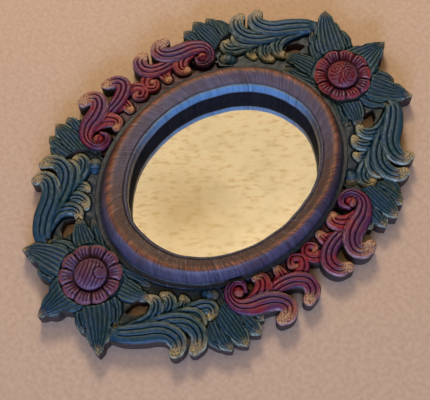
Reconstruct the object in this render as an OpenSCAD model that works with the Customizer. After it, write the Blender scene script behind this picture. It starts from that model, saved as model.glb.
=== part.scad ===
// Oval wall mirror in a hand-carved, pierced and painted wooden border.
// It lies on its back: +Z points out of the face, +Y towards the top edge, and z = 0 is the back.
// The origin is under the middle of the outline, on the back face.

/* [Opening] */
// Half width of the opening in front of the glass
opening_half_w = 71.5; // [60:0.5:90]
// Half length of the opening
opening_half_l = 89.5; // [75:0.5:110]
// How far the hand-cut opening sits to the right of the ring's centre
opening_shift = 3.5; // [0:0.5:4]

/* [Ring] */
// Width of the ring from the opening's nominal edge to its outer foot, at the sides
ring_w = 25.5; // [25:0.5:32]
// Extra width of the ring at its top and bottom
ring_end_extra = 3.5; // [0:0.5:6]
// Height of the ring's rounded crest above the back
crest_h = 31; // [30:0.5:36]
// Radius of the rounded crest
crest_r = 6; // [3:0.5:6]
// Distance of the crest's centre line from the outer foot
crest_in = 12; // [12:0.5:14]
// Height of the flat ledge round the ring's foot, where it meets the carving
foot_h = 15; // [12:0.5:18]
// Width of that ledge
ledge_w = 4.5; // [2:0.5:4.5]
// Height of the inner edge, where the bevel meets the opening
lip_h = 22; // [18:0.5:23]

/* [Carving] */
// Height of the flat ground between the carved lobes
ground_h = 11; // [8:0.5:13]
// Height of the tallest lobes
lobe_h = 17; // [14:0.5:20]
// Drop in height from one lobe to the one tucked under it
lobe_step = 1; // [0.5:0.25:1.5]
// Width of the main scroll bands
band_w = 11; // [8:0.5:12]
// Length of the leaf tips beyond the ring's outer foot
tip_reach = 80; // [66:1:90]
// Radius of the rosettes
rosette_r = 27; // [22:0.5:30]
// How far the rosettes would reach over the ring's outer foot, where they are cut to fit against it
rosette_lap = 3; // [1:0.5:5]
// Height of the rosettes' petals above the back
petal_h = 19; // [17:0.5:23]
// Radius of the rosettes' domed hearts
heart_r = 14; // [10:0.5:17]
// Height of the hearts' tops above the back
heart_h = 26; // [24:0.5:30]

/* [Glass] */
// Depth of the backing board's face below the border's back
board_recess = 1.4; // [1.4:0.1:3]
// Thickness of the glass
glass_t = 2; // [1.5:0.25:3]
// Thickness of the silvering and its paint
silver_t = 0.1; // [0.05:0.05:0.2]
// Thickness of the backing board
backing_t = 1.5; // [1:0.1:1.8]
// Width of the rebate's shelf, which the glass rests against
shelf_w = 5; // [3:0.5:7]
// Clearance round the glass in the rebate
glass_gap = 0.5; // [0.3:0.1:1]
// Diameter of the brads
brad_d = 1.2; // [0.8:0.1:1.3]
// Length of the brads
brad_l = 14; // [10:0.5:16]

/* [Hanger] */
// Depth of the pocket that lets the hanger lie below the back face
pocket_depth = 4; // [4:0.25:6]
// Width of the pocket
pocket_w = 24; // [22:0.5:28]
// Diameter of the hanging ring's wire
wire_d = 2; // [1.6:0.1:2.2]
// Width of the hanging ring, between the centres of its two sides
dring_w = 16; // [14:0.5:18]
// Straight part of the hanging ring's sides
dring_side = 4; // [3:0.5:6]
// Width of the strap
strap_w = 9; // [8:0.5:10]
// Thickness of the strap's sheet brass, which is folded double
strap_t = 0.8; // [0.6:0.1:0.9]
// Length of the strap below the ring's axis
strap_l = 23; // [20:0.5:26]
// Diameter of the screws
screw_d = 2.8; // [2.4:0.1:3.2]
// Length of the screws under the head
screw_l = 9; // [7:0.5:10]
// Running clearance of the ring's wire in the strap, on the radius
pivot_gap = 0.05; // [0.02:0.01:0.1]

/* [Hidden] */
$fn = 128;

ring_half_w = opening_half_w + ring_w;
ring_half_l = opening_half_l + ring_w + ring_end_extra;
rosette_out = rosette_r - rosette_lap; // distance of the rosette centres beyond the ring's foot
rosette_y = ring_half_l + rosette_out;
tip_y = ring_half_l + tip_reach;
// The carving was laid out round a foot of 97 by 118.5, and moves out or in with the foot's real size.
// On a smaller foot its bands narrow too, so that the gaps between them stay open.
layout_w = 97;
layout_l = 118.5;
band_scale = min(1, ring_half_w / layout_w, ring_half_l / layout_l);
over = 1; // how far a cut runs past the face it opens
tall = 60; // higher than anything in the border

// Levels behind the glass, counted up from the back.
board_back = board_recess;
board_front = board_back + backing_t;
glass_back = board_front + silver_t;
glass_front = glass_back + glass_t;
rosette_seat = 14;

// The ring's face, from its outer foot in: a flat ledge, a steep shoulder, the crest, a slope and a bevel.
shoulder_w = 1;
shoulder_rise = 5;
slope_end_in = crest_in + crest_r + 0.5; // from the outer foot
slope_end_rise = 1;
bevel_w = 2;
bevel_rise = 5;
crest_turns = [15:26:145]; // where the crest's round is sampled, in degrees

// Colours of the painted border and its fittings.
teal = [0.14, 0.31, 0.36];
crimson = [0.55, 0.18, 0.24];
plum = [0.40, 0.20, 0.28];
brown = [0.30, 0.18, 0.13];
brass = [0.78, 0.62, 0.32];
steel = [0.62, 0.63, 0.65];

// ---- Ovals ----
oval_steps = 72;
function oval(a, b, shift) = [for (i = [0:oval_steps - 1])
    let (t = i * 360 / oval_steps) [shift + a * cos(t), b * sin(t)]];

// A solid oval plate of height h, shifted to the right.
module oval_plate(a, b, shift, h) {
    linear_extrude(h) polygon(oval(a, b, shift));
}

// ---- Carved lobes ----
// A lobe is a band along a smooth curve through a few hand-placed points, with a round end.
function spline(a, b, c, d, t) =
    0.5 * (2 * b + (c - a) * t + (2 * a - 5 * b + 4 * c - d) * t * t + (3 * b - a - 3 * c + d) * t * t * t);
function curve(p, steps = 5) = let (last = len(p) - 1) concat(
    [for (i = [0:last - 1], k = [0:steps - 1])
        spline(p[max(i - 1, 0)], p[i], p[i + 1], p[min(i + 2, last)], k / steps)],
    [p[last]]);
function heading(c, i) = let (d = c[min(i + 1, len(c) - 1)] - c[max(i - 1, 0)]) d / norm(d);
// Signed turn of the curve at point i, in degrees, and the room that the bend's inside leaves.
function turn_at(c, i) = i == 0 || i == len(c) - 1 ? 0 :
    let (u = c[i] - c[i - 1], v = c[i + 1] - c[i]) atan2(u.x * v.y - u.y * v.x, u * v);
function inside_room(c, i) =
    min([for (k = [max(i - 1, 0):min(i + 1, len(c) - 1)])
        let (turn = abs(turn_at(c, k)), step = norm(c[min(k + 1, len(c) - 1)] - c[max(k - 1, 0)]) / 2)
        turn < 1 ? 1000 : 0.8 * step / (turn * PI / 180)]);
function edge_points(c, w0, w1, side) = [for (i = [0:len(c) - 1])
    let (d = heading(c, i),
        full = (w0 + (w1 - w0) * i / (len(c) - 1)) / 2,
        half = side * turn_at(c, i) > 0 ? min(full, inside_room(c, i)) : full)
    c[i] + side * [-d.y, d.x] * half];
function reversed(v) = [for (i = [len(v) - 1:-1:0]) v[i]];

module band(points, start_w, end_w) {
    c = curve(points);
    w0 = start_w * band_scale;
    w1 = end_w * band_scale;
    polygon(concat(edge_points(c, w0, w1, 1), reversed(edge_points(c, w0, w1, -1))));
    translate(c[len(c) - 1]) circle(d = w1, $fn = 32);
}

// Places a layout point in one quarter: q = [x sign, y sign, x nudge, y nudge].
function at(p, q) = [
    q[0] * (p.x + q[2]) * ring_half_w / layout_w,
    q[1] * (p.y + q[3]) * ring_half_l / layout_l];
function placed(points, q) = [for (p = points) at(p, q)];

upper_right = [1, 1, 2.5, 0];
upper_left = [-1, 1, 2.5, 0];
lower_left = [-1, -1, 2.5, -1];
lower_right = [1, -1, 0.5, -1];

// ---- Red scrolls ----
// Each row is [points, start width, end width, steps down from the tallest lobe].
red_lobes = [
    [[[92, 74], [100, 72], [107, 66], [111, 55], [113, 45], [119, 37], [128, 35], [134, 40], [133, 46]],
        band_w, band_w - 2, 0],
    [[[108, 46], [110, 30], [116, 17], [125, 12], [133, 16], [135, 22]], band_w - 2, band_w - 3, 1],
    [[[108, 60], [108, 50], [102, 41], [96, 41]], band_w - 2, band_w - 3, 2],
    [[[111, 44], [109, 32], [103, 25], [97, 26]], band_w - 3, band_w - 4, 3],
    [[[112, 28], [111, 16], [106, 9]], band_w - 2, band_w, 3]
];
red_volute = [95, 63];
red_volute_r = 11;
red_ground = [[86, 74], [108, 70], [113, 52], [112, 8], [104, 2],
    [88, 2], [88, 40], [100, 46], [98, 52], [86, 54]];

module red_outline(q) {
    for (l = red_lobes) band(placed(l[0], q), l[1], l[2]);
    translate(at(red_volute, q)) circle(r = red_volute_r * band_scale);
    polygon(placed(red_ground, q));
}

module red_scroll(q) {
    color(crimson) difference() {
        union() {
            for (l = red_lobes)
                linear_extrude(lobe_h - l[3] * lobe_step) band(placed(l[0], q), l[1], l[2]);
            translate(at(red_volute, q)) cylinder(h = lobe_h, r = red_volute_r * band_scale);
            linear_extrude(ground_h) polygon(placed(red_ground, q));
        }
        ring_cut();
    }
}

// ---- Acanthus scrolls ----
teal_lobes = [
    [[[54, 156], [67, 146], [76, 132], [86, 124], [95, 124], [98, 130]], band_w, band_w - 2, 0],
    [[[58, 150], [68, 130], [77, 114], [87, 106], [98, 106], [104, 112], [104, 116]], band_w, band_w - 2, 1],
    [[[64, 136], [72, 114], [79, 101], [87, 97], [92, 99]], band_w - 1, band_w - 3, 2],
    [[[70, 118], [76, 98], [83, 87], [89, 88]], band_w - 2, band_w - 3, 3],
    [[[54, 152], [61, 140], [61, 127], [56, 118], [51, 118]], band_w - 1, band_w - 3, 1],
    [[[62, 140], [66, 122], [63, 110], [57, 108]], band_w - 2, band_w - 3, 2],
    [[[68, 122], [73, 108], [72, 100], [67, 95]], band_w - 3, band_w - 5, 3]
];
teal_ground = [[46, 152], [60, 158], [80, 128], [88, 112], [94, 104], [98, 92], [92, 78],
    [78, 72], [56, 96], [38, 108], [40, 116], [52, 122], [56, 130], [50, 138], [42, 140]];

module acanthus_outline(q) {
    for (l = teal_lobes) band(placed(l[0], q), l[1], l[2]);
    polygon(placed(teal_ground, q));
}

module acanthus(q) {
    color(teal) difference() {
        union() {
            for (l = teal_lobes)
                linear_extrude(lobe_h - l[3] * lobe_step) band(placed(l[0], q), l[1], l[2]);
            linear_extrude(ground_h) polygon(placed(teal_ground, q));
        }
        ring_cut();
        cut_through() red_outline(q);
    }
}

// ---- Fan leaves ----
fan_ribs = [
    [[[88, 86], [101, 95], [113, 101]], band_w, band_w - 5, 2],
    [[[88, 84], [106, 90], [121, 94]], band_w, band_w - 5, 1],
    [[[88, 80], [108, 82], [127, 82]], band_w, band_w - 4, 1],
    [[[88, 76], [110, 73], [127, 70]], band_w, band_w - 4, 2],
    [[[92, 72], [110, 65], [121, 60]], band_w, band_w - 4, 3]
];
fan_ground = [[80, 86], [96, 98], [110, 98], [122, 88], [121, 66], [112, 58], [84, 66]];

module fan_leaf(q) {
    color(teal) difference() {
        union() {
            for (r = fan_ribs)
                linear_extrude(lobe_h - r[3] * lobe_step) band(placed(r[0], q), r[1], r[2]);
            linear_extrude(ground_h) polygon(placed(fan_ground, q));
        }
        ring_cut();
        cut_through() red_outline(q);
        cut_through() acanthus_outline(q);
    }
}

// ---- Leaf sprays behind the rosettes ----
// A leaf swells from its root and narrows to a point. Roots lie under the rosette.
function leaf_half_w(u, w) = w / 2 * pow(sin(180 * pow(u, 0.8)), 0.7);
function leaf_edge(c, w, side) = [for (i = [1:len(c) - 2])
    let (d = heading(c, i)) c[i] + side * [-d.y, d.x] * leaf_half_w(i / (len(c) - 1), w)];
module leaf(points, w) {
    c = curve(points, 6);
    polygon(concat([c[0]], leaf_edge(c, w, 1), [c[len(c) - 1]], reversed(leaf_edge(c, w, -1))));
}

// Each row is [points from root to tip, width, steps down from the tallest lobe].
spray_leaves = [
    [[[4, 138], [32, 158], [57, 178]], 27, 1],
    [[[6, 148], [18, 164], [28, 177]], 19, 2],
    [[[8, 140], [28, 146], [50, 150]], 17, 3],
    [[[6, 138], [26, 130], [45, 124]], 19, 3],
    [[[6, 132], [20, 122], [37, 112]], 17, 4]
];
axis_leaf_w = 36;
rosette_fit = 0.2; // gap between a rosette's rim and the leaves round it

module leaf_spray(top) {
    difference() {
        union() {
            for (side = [1, -1], l = spray_leaves)
                linear_extrude(lobe_h - l[2] * lobe_step) leaf(placed(l[0], [side, top, 0, 0]), l[1]);
            linear_extrude(lobe_h)
                leaf([[0, top * ring_half_l], [0, top * rosette_y], [0, top * tip_y]], axis_leaf_w);
            translate([0, top * rosette_y, 0]) cylinder(h = rosette_seat, r = rosette_r);
            translate([-rosette_r, top * rosette_y - (top > 0 ? rosette_out + over : 0), 0])
                cube([2 * rosette_r, rosette_out + over, ground_h]);
        }
        ring_cut();
        translate([0, top * rosette_y, rosette_seat]) cylinder(h = tall, r = rosette_r + rosette_fit);
        for (q = [upper_right, upper_left, lower_left, lower_right])
            if (q[1] == top) cut_through() acanthus_outline(q);
    }
}

module top_leaf_spray() {
    color(teal) difference() {
        leaf_spray(1);
        hanger_pocket();
        for (y = screw_places)
            translate([0, y, pocket_depth - over]) cylinder(h = pilot_depth + over, d = screw_d);
    }
}

module bottom_leaf_spray() {
    color(teal) leaf_spray(-1);
}

// ---- Rosettes ----
petals = 9;
heart_rise = heart_h - petal_h;
dome_r = (heart_r * heart_r + heart_rise * heart_rise) / (2 * heart_rise);
petal_r = 8.6;
petal_ring_r = rosette_r - petal_r;
petal_t = petal_h - rosette_seat;

module rosette(y, tint) {
    color(tint) translate([0, y, rosette_seat]) {
        linear_extrude(petal_t) difference() {
            union() {
                circle(r = petal_ring_r);
                for (i = [0:petals - 1]) rotate(i * 360 / petals)
                    translate([petal_ring_r, 0]) circle(r = petal_r, $fn = 48);
            }
            translate([0, -y]) polygon(oval(ring_half_w, ring_half_l, 0));
        }
        rotate_extrude() intersection() {
            translate([0, petal_t + heart_rise - dome_r]) circle(r = dome_r);
            square([heart_r, petal_t + heart_rise + over]);
        }
    }
}

// ---- Ring ----
// The ring is one skin over closed oval rows, each [half width, half length, shift, height].
// A row in its face lies at the share s of the way in from the outer foot to the lip.
function face_row(s, z) =
    [ring_half_w - s * ring_w, ring_half_l - s * (ring_w + ring_end_extra), s * opening_shift, z];
rebate_w = opening_half_w + shelf_w;
rebate_l = opening_half_l + shelf_w;
ring_rows = concat(
    [face_row(0, 0), face_row(0, foot_h), face_row(ledge_w / ring_w, foot_h),
        face_row((ledge_w + shoulder_w) / ring_w, foot_h + shoulder_rise)],
    [for (turn = crest_turns)
        face_row((crest_in - crest_r * cos(turn)) / ring_w, crest_h - crest_r + crest_r * sin(turn))],
    [face_row(slope_end_in / ring_w, lip_h + bevel_rise + slope_end_rise),
        face_row(1 - bevel_w / ring_w, lip_h + bevel_rise),
        face_row(1, lip_h), face_row(1, glass_front)],
    [[rebate_w, rebate_l, opening_shift, glass_front], [rebate_w, rebate_l, opening_shift, 0]]);

module oval_ring() {
    rows = len(ring_rows);
    points = [for (r = ring_rows, p = oval(r[0], r[1], r[2])) [p.x, p.y, r[3]]];
    faces = [for (r = [0:rows - 1], i = [0:oval_steps - 1])
        let (next = (i + 1) % oval_steps, up = (r + 1) % rows)
        [r * oval_steps + i, up * oval_steps + i, up * oval_steps + next, r * oval_steps + next]];
    color(brown) polyhedron(points = points, faces = faces);
}

// Cuts out the space the ring stands in, through a carved section of any height.
module ring_cut() {
    translate([0, 0, -over]) oval_plate(ring_half_w, ring_half_l, 0, tall);
}

module cut_through() {
    translate([0, 0, -over]) linear_extrude(tall) children();
}

// ---- Glass and what holds it ----
module pane(z, t) {
    translate([0, 0, z]) oval_plate(rebate_w - glass_gap, rebate_l - glass_gap, opening_shift, t);
}

module mirror_glass() {
    color([0.80, 0.84, 0.84]) pane(glass_back, glass_t);
}

module silvering() {
    color(steel) pane(board_front, silver_t);
}

module backing_board() {
    color([0.60, 0.47, 0.33]) pane(board_back, backing_t);
}

// Brads lie flat on the backing board, driven half their length into the rebate's wall.
brad_angles = [20, 65, 115, 160, 200, 245, 295, 340];
module brads() {
    color(steel) for (t = brad_angles)
        translate([opening_shift + rebate_w * cos(t), rebate_l * sin(t), board_back - brad_d / 2])
            rotate([0, 0, atan2(sin(t) / rebate_l, cos(t) / rebate_w)]) rotate([0, 90, 0])
                cylinder(h = brad_l, d = brad_d, center = true, $fn = 24);
}

// ---- Hanger ----
// The strap is sheet brass folded round the ring's bar; its fold touches the pocket's floor.
knuckle_r = wire_d / 2 + pivot_gap + strap_t;
pivot_above_rosette = 7;
pivot_y = rosette_y + pivot_above_rosette;
pivot_z = pocket_depth - knuckle_r;
leaf_z = pocket_depth - 2 * strap_t; // underside of the strap's two folded leaves
first_screw = 8; // from the pivot
screw_pitch = 9;
screw_places = [pivot_y - first_screw, pivot_y - first_screw - screw_pitch];
head_h = 1.5;
head_d = 5.4;
head_top_d = 3.8;
point_l = 2;
point_d = 0.6;
pilot_depth = screw_l - 2 * strap_t;
pocket_end = 4; // clear length beyond the strap and the ring
pocket_corner = 3;

module hanger_pocket() {
    low = pivot_y - strap_l - pocket_end;
    high = pivot_y + dring_side + dring_w / 2 + wire_d / 2 + pocket_end;
    translate([0, 0, -over]) linear_extrude(pocket_depth + over) union() {
        translate([-pocket_w / 2, low + pocket_corner]) square([pocket_w, high - low - 2 * pocket_corner]);
        translate([-pocket_w / 2 + pocket_corner, low]) square([pocket_w - 2 * pocket_corner, high - low]);
        for (x = [-1, 1], y = [low + pocket_corner, high - pocket_corner])
            translate([x * (pocket_w / 2 - pocket_corner), y]) circle(r = pocket_corner, $fn = 48);
    }
}

module hanger_strap() {
    end_y = pivot_y - strap_l + strap_w / 2;
    color(brass) difference() {
        union() {
            translate([-strap_w / 2, pivot_y, pivot_z]) rotate([0, 90, 0])
                cylinder(h = strap_w, r = knuckle_r, $fn = 64);
            translate([-strap_w / 2, end_y, leaf_z]) cube([strap_w, strap_l - strap_w / 2, 2 * strap_t]);
            translate([0, end_y, leaf_z]) cylinder(h = 2 * strap_t, d = strap_w, $fn = 64);
        }
        translate([-strap_w, pivot_y, pivot_z]) rotate([0, 90, 0])
            cylinder(h = 2 * strap_w, r = wire_d / 2 + pivot_gap, $fn = 64);
        for (y = screw_places) translate([0, y, leaf_z - over])
            cylinder(h = 2 * strap_t + 2 * over, d = screw_d, $fn = 48);
    }
}

module hanging_ring() {
    half = dring_w / 2;
    color(brass) translate([0, pivot_y, pivot_z]) {
        translate([-half, 0, 0]) rotate([0, 90, 0]) cylinder(h = dring_w, d = wire_d, $fn = 48);
        for (x = [-half, half]) {
            translate([x, 0, 0]) sphere(d = wire_d, $fn = 48);
            translate([x, 0, 0]) rotate([-90, 0, 0]) cylinder(h = dring_side, d = wire_d, $fn = 48);
        }
        translate([0, dring_side, 0]) rotate_extrude(angle = 180)
            translate([half, 0]) circle(d = wire_d, $fn = 48);
    }
}

module hanger_screws() {
    color(steel) for (y = screw_places) translate([0, y, leaf_z]) {
        cylinder(h = screw_l - point_l, d = screw_d, $fn = 48);
        translate([0, 0, screw_l - point_l]) cylinder(h = point_l, d1 = screw_d, d2 = point_d, $fn = 48);
        translate([0, 0, -head_h]) cylinder(h = head_h, d1 = head_top_d, d2 = head_d, $fn = 48);
    }
}

oval_ring();
rosette(rosette_y, crimson);  // top_rosette
rosette(-rosette_y, plum);  // bottom_rosette
top_leaf_spray();
bottom_leaf_spray();
acanthus(upper_right);  // acanthus_upper_right
acanthus(upper_left);  // acanthus_upper_left
acanthus(lower_left);  // acanthus_lower_left
acanthus(lower_right);  // acanthus_lower_right
fan_leaf(upper_right);  // fan_leaf_upper_right
fan_leaf(upper_left);  // fan_leaf_upper_left
fan_leaf(lower_left);  // fan_leaf_lower_left
fan_leaf(lower_right);  // fan_leaf_lower_right
red_scroll(upper_right);  // red_scroll_upper_right
red_scroll(upper_left);  // red_scroll_upper_left
red_scroll(lower_left);  // red_scroll_lower_left
red_scroll(lower_right);  // red_scroll_lower_right
mirror_glass();
silvering();
backing_board();
brads();
hanger_strap();
hanging_ring();
hanger_screws();
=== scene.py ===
# Looks of an oval wall mirror in a hand-carved, pierced and painted wooden border.
# Lengths are in millimetres until a mesh is made. +Z points out of the mirror's face.
import math

import bpy
import numpy as np
from mathutils import Matrix, Vector
from mathutils.geometry import tessellate_polygon


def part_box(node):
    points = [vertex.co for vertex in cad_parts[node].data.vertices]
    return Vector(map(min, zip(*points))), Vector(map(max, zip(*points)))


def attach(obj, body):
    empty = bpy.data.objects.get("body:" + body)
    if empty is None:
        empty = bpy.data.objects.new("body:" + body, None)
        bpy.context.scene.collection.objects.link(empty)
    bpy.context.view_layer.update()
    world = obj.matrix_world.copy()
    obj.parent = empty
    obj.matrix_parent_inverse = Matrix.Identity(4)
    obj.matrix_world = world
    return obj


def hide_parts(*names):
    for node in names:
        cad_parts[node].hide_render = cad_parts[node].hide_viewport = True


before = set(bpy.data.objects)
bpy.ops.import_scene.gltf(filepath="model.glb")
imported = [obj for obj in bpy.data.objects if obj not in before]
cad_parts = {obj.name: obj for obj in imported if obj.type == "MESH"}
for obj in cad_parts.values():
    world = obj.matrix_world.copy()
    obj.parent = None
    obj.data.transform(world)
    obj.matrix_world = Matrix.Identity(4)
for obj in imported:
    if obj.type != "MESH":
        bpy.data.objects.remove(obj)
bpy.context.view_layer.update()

# ---- Camera ----
# A short telephoto lens at arm's length, above the mirror and towards its lower right, and turned a
# few degrees about its own axis.
camera = bpy.data.objects.new("camera", bpy.data.cameras.new("camera"))
bpy.context.scene.collection.objects.link(camera)
bpy.context.scene.camera = camera
bpy.context.scene.view_settings.view_transform = "Standard"
camera.data.sensor_width = 36
camera.data.lens = 72.8
camera_azimuth, camera_elevation, camera_roll = (math.radians(a) for a in (53.48, 66.27, 4.56))
camera_back = Vector((math.sin(camera_azimuth) * math.cos(camera_elevation),
                      -math.cos(camera_azimuth) * math.cos(camera_elevation),
                      math.sin(camera_elevation)))
level_right = Vector((math.cos(camera_azimuth), math.sin(camera_azimuth), 0))
level_up = camera_back.cross(level_right)
camera_up = level_up * math.cos(camera_roll) + level_right * math.sin(camera_roll)
camera_right = level_right * math.cos(camera_roll) - level_up * math.sin(camera_roll)
camera.matrix_world = Matrix((camera_right, camera_up, camera_back)).transposed().to_4x4()
camera.location = (0.2571, -0.2004, 0.6952)

# ---- Oval ring ----
# The raised wooden ring round the glass, cut by hand: a steep outer slope, a rounded crest, a gentle
# inner slope and a bevel at the lip. Stained brown, with a painted slate violet sheen in slanting brush
# strokes on the slopes that face the cool window, and a painted blue reflection on the bevel.
ring_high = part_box("oval_ring")[1] * 1000
glass_low, glass_high = (corner * 1000 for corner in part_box("mirror_glass"))
foot = np.array((ring_high.x, ring_high.y))
crest_top = ring_high.z
opening = np.array((71.5, 89.5))
opening_shift = (glass_low.x + glass_high.x) / 2
rebate = np.array((glass_high.x - opening_shift, glass_high.y)) + 0.5


def linear(code):
    """An sRGB hex colour as linear red, green, blue and alpha."""
    parts = [int(code[i:i + 2], 16) / 255 for i in (1, 3, 5)]
    return [p / 12.92 if p <= 0.04045 else ((p + 0.055) / 1.055) ** 2.4 for p in parts] + [1.0]


mix_a, mix_b, mix_out = 6, 7, 2  # where a Mix node keeps its two colours and their mixture


def add(tree, kind, inputs, output=0, stops=(), **settings):
    """Adds a node and returns one of its outputs. Its inputs are values, hex colours or the sockets
    that feed it, settings are its options, and stops are a colour ramp's rows of place and colour."""
    node = tree.nodes.new("ShaderNode" + kind)
    for key, value in settings.items():
        setattr(node, key, value)
    for key, value in inputs.items():
        if isinstance(value, bpy.types.NodeSocket):
            tree.links.new(value, node.inputs[key])
        else:
            node.inputs[key].default_value = linear(value) if isinstance(value, str) else value
    while stops and len(node.color_ramp.elements) < len(stops):
        node.color_ramp.elements.new(0.5)
    for number, (place_along, colour) in enumerate(stops):
        node.color_ramp.elements[number].position = place_along
        node.color_ramp.elements[number].color = linear(colour)
    return node.outputs[output]


def start_material(name):
    material = bpy.data.materials.new(name)
    material.use_nodes = True
    tree = material.node_tree
    return material, tree, tree.nodes["Principled BSDF"]


def make_mesh(name, places, faces, materials, face_material=None, numbers=None, laid=None, crease=38):
    """A mesh object from places in mm. numbers are named amounts on its points."""
    mesh = bpy.data.meshes.new(name)
    mesh.from_pydata((np.asarray(places) / 1000).tolist(), [], faces)
    for material in materials:
        mesh.materials.append(material)
    if face_material is not None:
        mesh.polygons.foreach_set("material_index", np.asarray(face_material, np.int32))
    for key, amounts in (numbers or {}).items():
        mesh.attributes.new(key, "FLOAT", "POINT").data.foreach_set(
            "value", np.asarray(amounts, np.float32))
    if laid is not None:
        mesh.attributes.new("laid", "FLOAT_VECTOR", "POINT").data.foreach_set(
            "vector", np.asarray(laid, np.float32).ravel())
    mesh.polygons.foreach_set("use_smooth", np.ones(len(mesh.polygons), bool))
    mesh.set_sharp_from_angle(angle=math.radians(crease))
    mesh.update()
    piece = bpy.data.objects.new(name, mesh)
    bpy.context.scene.collection.objects.link(piece)
    return piece


def wobble(points, seed, wavelength, waves=7):
    """A smooth hand-made unevenness from -1 to 1 over points in the plane."""
    rng = np.random.default_rng(seed)
    total = np.zeros(len(points))
    for _ in range(waves):
        turn, phase = rng.uniform(0, 2 * math.pi, 2)
        pitch = wavelength * rng.uniform(0.6, 1.6)
        total += np.sin((points[:, 0] * math.cos(turn) + points[:, 1] * math.sin(turn))
                        * 2 * math.pi / pitch + phase)
    return total / waves * 1.6


def smooth(value, low, high):
    share = np.clip((value - low) / (high - low), 0, 1)
    return share * share * (3 - 2 * share)


# Satin stain with painted sheen: the ramp runs in from the foot, and the crest is rubbed back to orange
# brown.
# Brush streaks are about 1.3 mm wide and 14 mm long, drawn coarser than real bristle marks so that
# they show, the open grain is about 1 mm and the cloudy patches in the painted sheen are about 30 mm.
def ring_stain_and_painted_sheen():
    material, tree, shader = start_material("brown_stain_and_painted_sheen")
    laid = add(tree, "Attribute", {}, "Vector", attribute_name="laid")
    across = add(tree, "Attribute", {}, "Fac", attribute_name="across")
    brush = add(tree, "Mapping", {"Vector": laid, "Scale": (0.75, 0.75, 0.07)})
    streaks = add(tree, "TexNoise",
                  {"Vector": brush, "Scale": 1.0, "Detail": 5.0, "Roughness": 0.68, "Distortion": 0.25})
    grain = add(tree, "TexNoise", {"Vector": laid, "Scale": 1.1, "Detail": 3.0, "Roughness": 0.6})
    patches = add(tree, "TexNoise", {"Vector": laid, "Scale": 0.035, "Detail": 2.0})
    slip = add(tree, "MapRange", {"Value": streaks, "From Min": 0.3, "From Max": 0.7,
                                           "To Min": -0.025, "To Max": 0.025})
    shifted = add(tree, "Math", {0: across, 1: slip}, operation="ADD")
    # The near black teal on the ledge at the foot is dark ground paint and painted shade where the ring
    # meets the carving.
    stain = add(tree, "ValToRGB", {"Fac": shifted},
                stops=[(0.0, "#0a1a22"), (0.16, "#0c1c26"), (0.2, "#2b2029"), (0.3, "#4a281a"),
                       (0.43, "#5a3019"), (0.6, "#4a2817"), (0.84, "#40241c"), (0.875, "#150e12"),
                       (0.9, "#3f3c4a"), (0.99, "#34323f")])
    cloudy = add(tree, "MapRange",
                 {"Value": patches, "From Min": 0.4, "From Max": 0.62, "To Min": 0.55, "To Max": 1.0})
    # Painted sheen: slate violet mixed in, in cloudy patches, where the slopes face the cool window.
    painted_sheen = add(tree, "Attribute", {}, "Fac", attribute_name="painted_sheen")
    painted_sheen_amount = add(tree, "Math", {0: painted_sheen, 1: cloudy}, operation="MULTIPLY")
    painted_sheen = add(tree, "Mix", {"Factor": painted_sheen_amount, mix_a: stain, mix_b: "#524d60"}, mix_out,
                data_type="RGBA")
    # Painted reflection of the cool window: pale blue on the bevel.
    painted_blue_reflection = add(tree, "Attribute", {}, "Fac", attribute_name="painted_blue_reflection")
    painted_sheen = add(tree, "Mix", {"Factor": painted_blue_reflection, mix_a: painted_sheen, mix_b: "#5b86a8"}, mix_out, data_type="RGBA")
    streaked_amount = add(tree, "MapRange", {"Value": streaks, "From Min": 0.5, "From Max": 0.64,
                                             "To Min": 0.0, "To Max": 0.7})
    streaked = add(tree, "Mix", {"Factor": streaked_amount, mix_a: painted_sheen, mix_b: "#0f0b0f"}, mix_out,
                   data_type="RGBA")
    rising = add(tree, "MapRange", {"Value": across, "From Min": 0.36, "From Max": 0.44})
    falling = add(tree, "MapRange", {"Value": across, "From Min": 0.62, "From Max": 0.52})
    worn = add(tree, "Math", {0: rising, 1: falling}, operation="MULTIPLY")
    bare_streaks = add(tree, "MapRange", {"Value": streaks, "From Min": 0.52, "From Max": 0.36,
                                           "To Min": 0.0, "To Max": 0.85})
    orange = add(tree, "Math", {0: worn, 1: bare_streaks}, operation="MULTIPLY")
    lit = add(tree, "Mix", {"Factor": orange, mix_a: streaked, mix_b: "#a35a26"}, mix_out,
              data_type="RGBA")
    lit_amount = add(tree, "MapRange",
                     {"Value": streaks, "From Min": 0.42, "From Max": 0.3, "To Min": 0.0, "To Max": 0.4})
    lit = add(tree, "Mix", {"Factor": lit_amount, mix_a: lit, mix_b: "#8d86a0"}, mix_out,
              data_type="RGBA")
    tree.links.new(lit, shader.inputs["Base Color"])
    roughness = add(tree, "MapRange",
                    {"Value": grain, "From Min": 0.3, "From Max": 0.7, "To Min": 0.26, "To Max": 0.5})
    tree.links.new(roughness, shader.inputs["Roughness"])
    relief_part = add(tree, "Math", {0: grain, 1: 0.5}, operation="MULTIPLY")
    relief = add(tree, "Math", {0: streaks, 1: relief_part}, operation="ADD")
    bump = add(tree, "Bump", {"Height": relief, "Strength": 0.9, "Distance": 0.0008})
    tree.links.new(bump, shader.inputs["Normal"])
    return material


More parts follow.
